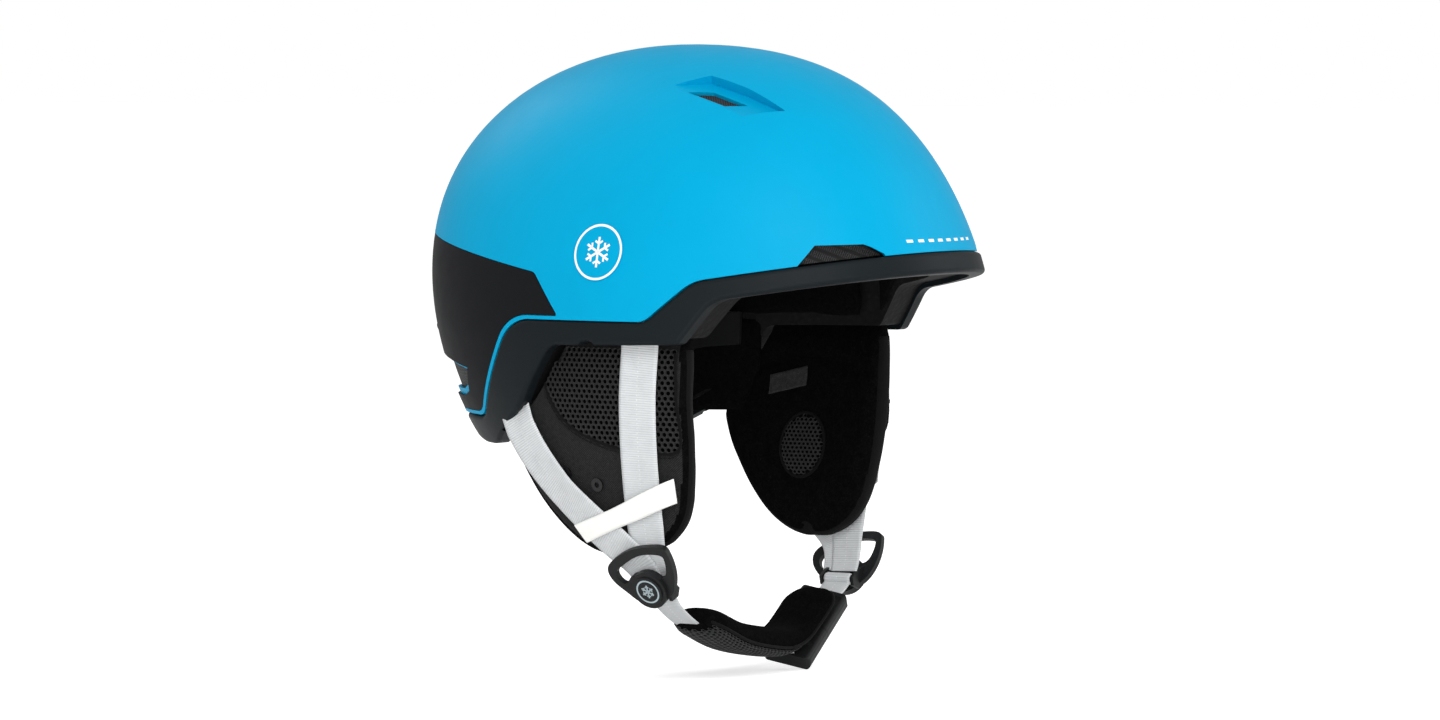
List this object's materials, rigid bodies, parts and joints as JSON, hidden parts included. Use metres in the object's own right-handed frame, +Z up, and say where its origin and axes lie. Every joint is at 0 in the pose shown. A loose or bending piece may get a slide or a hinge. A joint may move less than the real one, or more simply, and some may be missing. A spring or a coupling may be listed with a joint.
{
  "type": "ski helmet",
  "caption": "Hard-shell winter sports helmet with in-mould liner, soft ear pads, webbing straps with chin buckle, rear fit dial and goggle strap clip.",
  "frame": {"origin": "middle of the axis that joins the two ears, in the head opening", "axes": "+X towards the wearer's left, +Y towards the back of the head, +Z up towards the crown"},
  "size_m": [0.2178, 0.2849, 0.3002],
  "materials": {
    "shell_blue": "satin",
    "panel_black": "matte",
    "rim_black": "satin",
    "liner_black": "matte",
    "vent_mesh": "matte",
    "mark_white": "satin",
    "fleece_black": "matte",
    "twill_black": "matte",
    "spacer_mesh": "matte",
    "webbing_silver": "satin",
    "satin_white": "satin",
    "hardware_black": "satin",
    "steel": "satin",
    "snap_dark": "gloss"
  },
  "bodies": {
    "shell": {"outer_shell": "shell_blue", "rear_shell_panel": "panel_black", "lower_rim": "rim_black", "impact_liner": "liner_black", "top_vent_mesh": "vent_mesh", "front_vent_mesh": "vent_mesh", "rear_vent_mesh": "vent_mesh", "side_badge": "mark_white", "brow_pad": "fleece_black", "crown_pad": "fleece_black", "side_pads": "fleece_black", "strap_rivets": "steel", "goggle_clip_base": "hardware_black", "goggle_clip_pin": "steel", "strap_root_front_right": "webbing_silver", "strap_root_rear_right": "webbing_silver", "strap_root_front_left": "webbing_silver", "strap_root_rear_left": "webbing_silver"},
    "fit_cradle": {"fit_cradle": "hardware_black", "cradle_pad": "fleece_black", "dial_axle": "steel"},
    "fit_dial": {"fit_dial": "hardware_black"},
    "goggle_clip": {"goggle_clip": "hardware_black"},
    "ear_right": {"ear_pad_right": "twill_black", "speaker_blank_right": "hardware_black", "ear_binding_right": "twill_black", "ear_mesh_right": "spacer_mesh", "ear_grille_right": "spacer_mesh", "ear_snaps_right": "snap_dark", "strap_front_right": "webbing_silver", "strap_rear_right": "webbing_silver", "strap_keeper_right": "satin_white", "divider_right": "hardware_black", "divider_cap_right": "mark_white"},
    "ear_left": {"ear_pad_left": "twill_black", "speaker_blank_left": "hardware_black", "ear_binding_left": "twill_black", "ear_mesh_left": "spacer_mesh", "ear_grille_left": "spacer_mesh", "ear_snaps_left": "snap_dark", "strap_front_left": "webbing_silver", "strap_rear_left": "webbing_silver", "strap_keeper_left": "satin_white", "divider_left": "hardware_black", "divider_cap_left": "mark_white", "chin_web_left": "webbing_silver", "ear_tag_left": "twill_black"},
    "chin_strap": {"chin_web_right": "webbing_silver", "chin_pad": "spacer_mesh", "buckle_lower": "hardware_black", "magnet_lower": "steel"},
    "buckle_upper": {"buckle_upper": "hardware_black", "magnet_upper": "steel"}
  },
  "joints": [
    {"name": "ear_right_flare", "type": "hinge", "parent": "shell", "child": "ear_right", "pos_m": [-0.0915, 0, -0.004], "axis": [0, 1, 0], "range_deg": [0, 15], "stiffness_Nm_per_rad": 2},
    {"name": "ear_left_flare", "type": "hinge", "parent": "shell", "child": "ear_left", "pos_m": [0.0915, 0, -0.004], "axis": [0, -1, 0], "range_deg": [0, 15], "stiffness_Nm_per_rad": 2},
    {"name": "chin_strap_swing", "type": "hinge", "parent": "ear_right", "child": "chin_strap", "pos_m": [-0.0764, -0.0195, -0.1115], "axis": [0, 1, 0], "range_deg": [0, 38], "stiffness_Nm_per_rad": 4},
    {"name": "buckle_release", "type": "slide", "parent": "ear_left", "child": "buckle_upper", "axis": [0.1489, -0.9703, -0.1906], "range_m": [0, 0.026], "stiffness_N_per_m": 200},
    {"name": "fit_dial_turn", "type": "hinge", "parent": "fit_cradle", "child": "fit_dial", "pos_m": [0, 0.0924, -0.028], "axis": [0, 0.809, -0.5878], "range_deg": [0, 180], "stiffness_Nm_per_rad": 0.02},
    {"name": "fit_cradle_draw", "type": "slide", "parent": "shell", "child": "fit_cradle", "axis": [0, -1, 0], "range_m": [0, 0.00785], "stiffness_N_per_m": 300},
    {"name": "goggle_clip_open", "type": "hinge", "parent": "shell", "child": "goggle_clip", "pos_m": [0, 0.1476, 0.006], "axis": [-1, 0, 0], "range_deg": [0, 60], "stiffness_Nm_per_rad": 0.5}
  ],
  "couplings": [
    {"joint": "fit_dial_turn", "follows": "fit_cradle_draw", "rad_per_m": 400}
  ]
}
